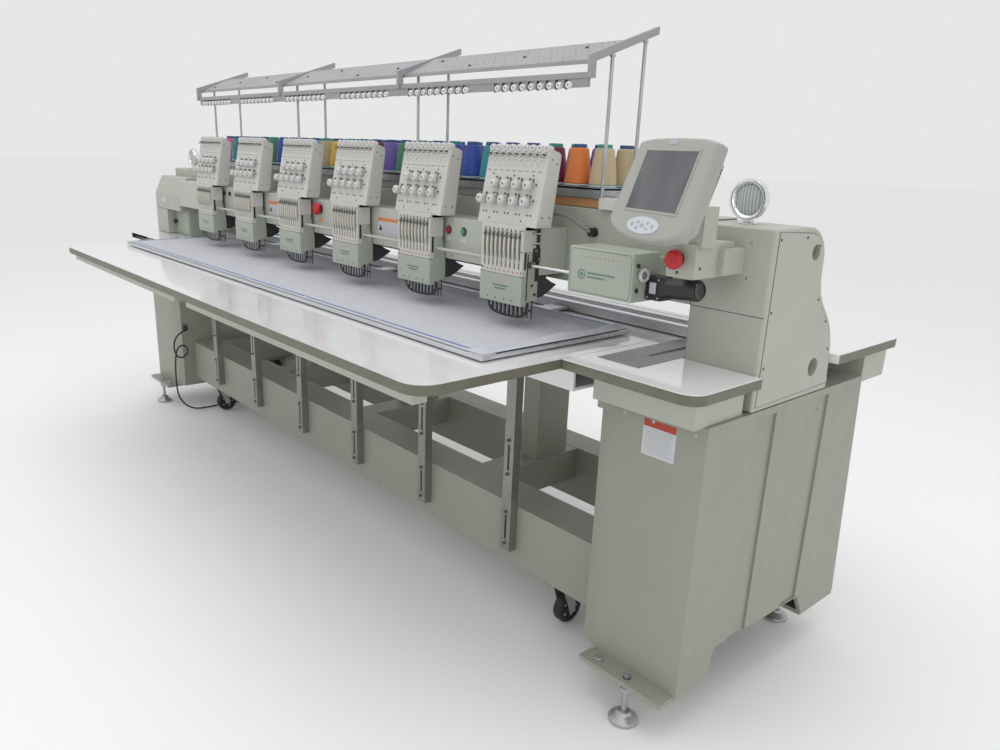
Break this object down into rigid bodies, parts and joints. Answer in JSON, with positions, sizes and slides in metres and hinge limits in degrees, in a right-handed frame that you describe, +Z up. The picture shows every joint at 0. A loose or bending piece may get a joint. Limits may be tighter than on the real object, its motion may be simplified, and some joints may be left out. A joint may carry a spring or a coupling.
{
  "type": "multi-head embroidery machine",
  "caption": "Flat-bed embroidery machine with a row of sewing heads, thread cones on top, white tables and a tilting control panel.",
  "frame": {"origin": "on the floor, at the middle of the machine's length and depth", "axes": "+X to the operator's right along the row of heads, +Y away from the operator, +Z up"},
  "size_m": [3.52, 1.45, 1.707],
  "materials": {
    "cream_paint": "satin powder coat",
    "white_paint": "satin",
    "laminate": "gloss white laminate",
    "steel": "brushed",
    "chrome": "polished",
    "aluminium": "satin anodised",
    "white_plastic": "satin",
    "black_plastic": "satin",
    "black_iron": "black paint",
    "red_plastic": "gloss",
    "green_plastic": "gloss",
    "rubber": "matt",
    "cloth": "plain weave",
    "grey_plastic": "satin"
  },
  "bodies": {
    "frame": {"left_stand": "cream_paint", "right_stand": "cream_paint", "left_column": "cream_paint", "right_column": "cream_paint", "upper_beam": "cream_paint", "base_frame": "cream_paint", "head_cover_rail": "white_paint", "hook_bed": "white_paint", "colour_change_box": "white_paint", "left_side_table": "laminate", "right_side_table": "laminate", "front_table_left": "laminate", "front_table_right": "laminate", "rear_table": "laminate", "bed_struts": "steel", "thread_tree": "steel", "panel_arm": "white_plastic", "spool_tray": "white_plastic", "head_arms": "black_iron", "colour_change_motor": "black_plastic", "sensor_conduit": "grey_plastic", "power_cord": "rubber", "power_cord_coil": "rubber", "power_plug": "rubber"},
    "needle_carriage": {"link_bar": "steel", "needle_case_1": "white_plastic", "needle_case_2": "white_plastic", "needle_case_3": "white_plastic", "needle_case_4": "white_plastic", "needle_case_5": "white_plastic", "needle_case_6": "white_plastic"},
    "gantry": {"x_rail": "aluminium"},
    "border": {"border_frame": "aluminium", "fabric_sheet": "cloth"},
    "needle_bar_1": {"needle_bar_1": "chrome"},
    "needle_bar_2": {"needle_bar_2": "chrome"},
    "needle_bar_3": {"needle_bar_3": "chrome"},
    "needle_bar_4": {"needle_bar_4": "chrome"},
    "needle_bar_5": {"needle_bar_5": "chrome"},
    "needle_bar_6": {"needle_bar_6": "chrome"},
    "colour_change_knob": {"colour_change_knob": "steel"},
    "control_panel": {"control_panel": "white_plastic"},
    "estop_button_front": {"estop_button_front": "red_plastic"},
    "estop_button_panel": {"estop_button_panel": "red_plastic"},
    "stop_button": {"stop_button": "red_plastic"},
    "start_button": {"start_button": "green_plastic"},
    "work_lamp_left": {"work_lamp_left": "chrome"},
    "work_lamp_right": {"work_lamp_right": "chrome"},
    "levelling_foot_front_left": {"levelling_foot_front_left": "steel"},
    "caster_front_left_fork": {"caster_front_left_fork": "steel"},
    "caster_front_left_wheel": {"caster_front_left_wheel": "black_plastic"},
    "levelling_foot_front_right": {"levelling_foot_front_right": "steel"},
    "caster_front_right_fork": {"caster_front_right_fork": "steel"},
    "caster_front_right_wheel": {"caster_front_right_wheel": "black_plastic"},
    "levelling_foot_rear_left": {"levelling_foot_rear_left": "steel"},
    "caster_rear_left_fork": {"caster_rear_left_fork": "steel"},
    "caster_rear_left_wheel": {"caster_rear_left_wheel": "black_plastic"},
    "levelling_foot_rear_right": {"levelling_foot_rear_right": "steel"},
    "caster_rear_right_fork": {"caster_rear_right_fork": "steel"},
    "caster_rear_right_wheel": {"caster_rear_right_wheel": "black_plastic"}
  },
  "joints": [
    {"name": "colour_change_slide", "type": "slide", "parent": "frame", "child": "needle_carriage", "axis": [1, 0, 0], "range_m": [-0.119, 0.017]},
    {"name": "needle_bar_1_stroke", "type": "slide", "parent": "needle_carriage", "child": "needle_bar_1", "axis": [0, 0, 1], "range_m": [-0.033, 0]},
    {"name": "needle_bar_2_stroke", "type": "slide", "parent": "needle_carriage", "child": "needle_bar_2", "axis": [0, 0, 1], "range_m": [-0.033, 0]},
    {"name": "needle_bar_3_stroke", "type": "slide", "parent": "needle_carriage", "child": "needle_bar_3", "axis": [0, 0, 1], "range_m": [-0.033, 0]},
    {"name": "needle_bar_4_stroke", "type": "slide", "parent": "needle_carriage", "child": "needle_bar_4", "axis": [0, 0, 1], "range_m": [-0.033, 0]},
    {"name": "needle_bar_5_stroke", "type": "slide", "parent": "needle_carriage", "child": "needle_bar_5", "axis": [0, 0, 1], "range_m": [-0.033, 0]},
    {"name": "needle_bar_6_stroke", "type": "slide", "parent": "needle_carriage", "child": "needle_bar_6", "axis": [0, 0, 1], "range_m": [-0.033, 0]},
    {"name": "colour_change_knob_turn", "type": "hinge", "parent": "frame", "child": "colour_change_knob", "pos_m": [1.5085, -0.174, 1.124], "axis": [1, 0, 0], "range_deg": [-2522, 362]},
    {"name": "border_y_drive", "type": "slide", "parent": "frame", "child": "gantry", "axis": [0, 1, 0], "range_m": [-0.18, 0.2]},
    {"name": "border_x_drive", "type": "slide", "parent": "gantry", "child": "border", "axis": [1, 0, 0], "range_m": [-0.2, 0.2]},
    {"name": "panel_tilt", "type": "hinge", "parent": "frame", "child": "control_panel", "pos_m": [1.63516, -0.22848, 1.29913], "axis": [0.9548, -0.2974, 0], "range_deg": [-20, 10]},
    {"name": "estop_front_press", "type": "slide", "parent": "frame", "child": "estop_button_front", "axis": [0, 1, 0], "range_m": [0, 0.006], "stiffness_N_per_m": 900},
    {"name": "estop_panel_press", "type": "slide", "parent": "frame", "child": "estop_button_panel", "axis": [0, 1, 0], "range_m": [0, 0.006], "stiffness_N_per_m": 900},
    {"name": "stop_press", "type": "slide", "parent": "frame", "child": "stop_button", "axis": [0, 1, 0], "range_m": [0, 0.0025], "stiffness_N_per_m": 600},
    {"name": "start_press", "type": "slide", "parent": "frame", "child": "start_button", "axis": [0, 1, 0], "range_m": [0, 0.0025], "stiffness_N_per_m": 600},
    {"name": "work_lamp_left_swivel", "type": "hinge", "parent": "frame", "child": "work_lamp_left", "pos_m": [-1.67, 0.045, 1.3], "axis": [0, 0, 1], "range_deg": [-60, 60]},
    {"name": "work_lamp_right_swivel", "type": "hinge", "parent": "frame", "child": "work_lamp_right", "pos_m": [1.625, 0.045, 1.3], "axis": [0, 0, 1], "range_deg": [-60, 60]},
    {"name": "levelling_foot_front_left_turn", "type": "hinge", "parent": "frame", "child": "levelling_foot_front_left", "pos_m": [-1.619, -0.234, 0], "axis": [0, 0, 1], "continuous": true},
    {"name": "levelling_foot_rear_left_turn", "type": "hinge", "parent": "frame", "child": "levelling_foot_rear_left", "pos_m": [-1.619, 0.52, 0], "axis": [0, 0, 1], "continuous": true},
    {"name": "levelling_foot_front_right_turn", "type": "hinge", "parent": "frame", "child": "levelling_foot_front_right", "pos_m": [1.619, -0.234, 0], "axis": [0, 0, 1], "continuous": true},
    {"name": "levelling_foot_rear_right_turn", "type": "hinge", "parent": "frame", "child": "levelling_foot_rear_right", "pos_m": [1.619, 0.52, 0], "axis": [0, 0, 1], "continuous": true},
    {"name": "caster_front_left_swivel", "type": "hinge", "parent": "frame", "child": "caster_front_left_fork", "pos_m": [-1.275, -0.05, 0.164], "axis": [0, 0, 1], "continuous": true},
    {"name": "caster_front_left_roll", "type": "hinge", "parent": "caster_front_left_fork", "child": "caster_front_left_wheel", "pos_m": [-1.275, -0.026, 0.053], "axis": [1, 0, 0], "continuous": true},
    {"name": "caster_rear_left_swivel", "type": "hinge", "parent": "frame", "child": "caster_rear_left_fork", "pos_m": [-1.275, 0.455, 0.164], "axis": [0, 0, 1], "continuous": true},
    {"name": "caster_rear_left_roll", "type": "hinge", "parent": "caster_rear_left_fork", "child": "caster_rear_left_wheel", "pos_m": [-1.275, 0.479, 0.053], "axis": [1, 0, 0], "continuous": true},
    {"name": "caster_front_right_swivel", "type": "hinge", "parent": "frame", "child": "caster_front_right_fork", "pos_m": [1.225, -0.05, 0.164], "axis": [0, 0, 1], "continuous": true},
    {"name": "caster_front_right_roll", "type": "hinge", "parent": "caster_front_right_fork", "child": "caster_front_right_wheel", "pos_m": [1.225, -0.026, 0.053], "axis": [1, 0, 0], "continuous": true},
    {"name": "caster_rear_right_swivel", "type": "hinge", "parent": "frame", "child": "caster_rear_right_fork", "pos_m": [1.225, 0.455, 0.164], "axis": [0, 0, 1], "continuous": true},
    {"name": "caster_rear_right_roll", "type": "hinge", "parent": "caster_rear_right_fork", "child": "caster_rear_right_wheel", "pos_m": [1.225, 0.479, 0.053], "axis": [1, 0, 0], "continuous": true}
  ],
  "couplings": [
    {"joint": "needle_bar_2_stroke", "follows": "needle_bar_1_stroke", "ratio": 1},
    {"joint": "needle_bar_3_stroke", "follows": "needle_bar_1_stroke", "ratio": 1},
    {"joint": "needle_bar_4_stroke", "follows": "needle_bar_1_stroke", "ratio": 1},
    {"joint": "needle_bar_5_stroke", "follows": "needle_bar_1_stroke", "ratio": 1},
    {"joint": "needle_bar_6_stroke", "follows": "needle_bar_1_stroke", "ratio": 1},
    {"joint": "colour_change_knob_turn", "follows": "colour_change_slide", "rad_per_m": 369.6}
  ]
}
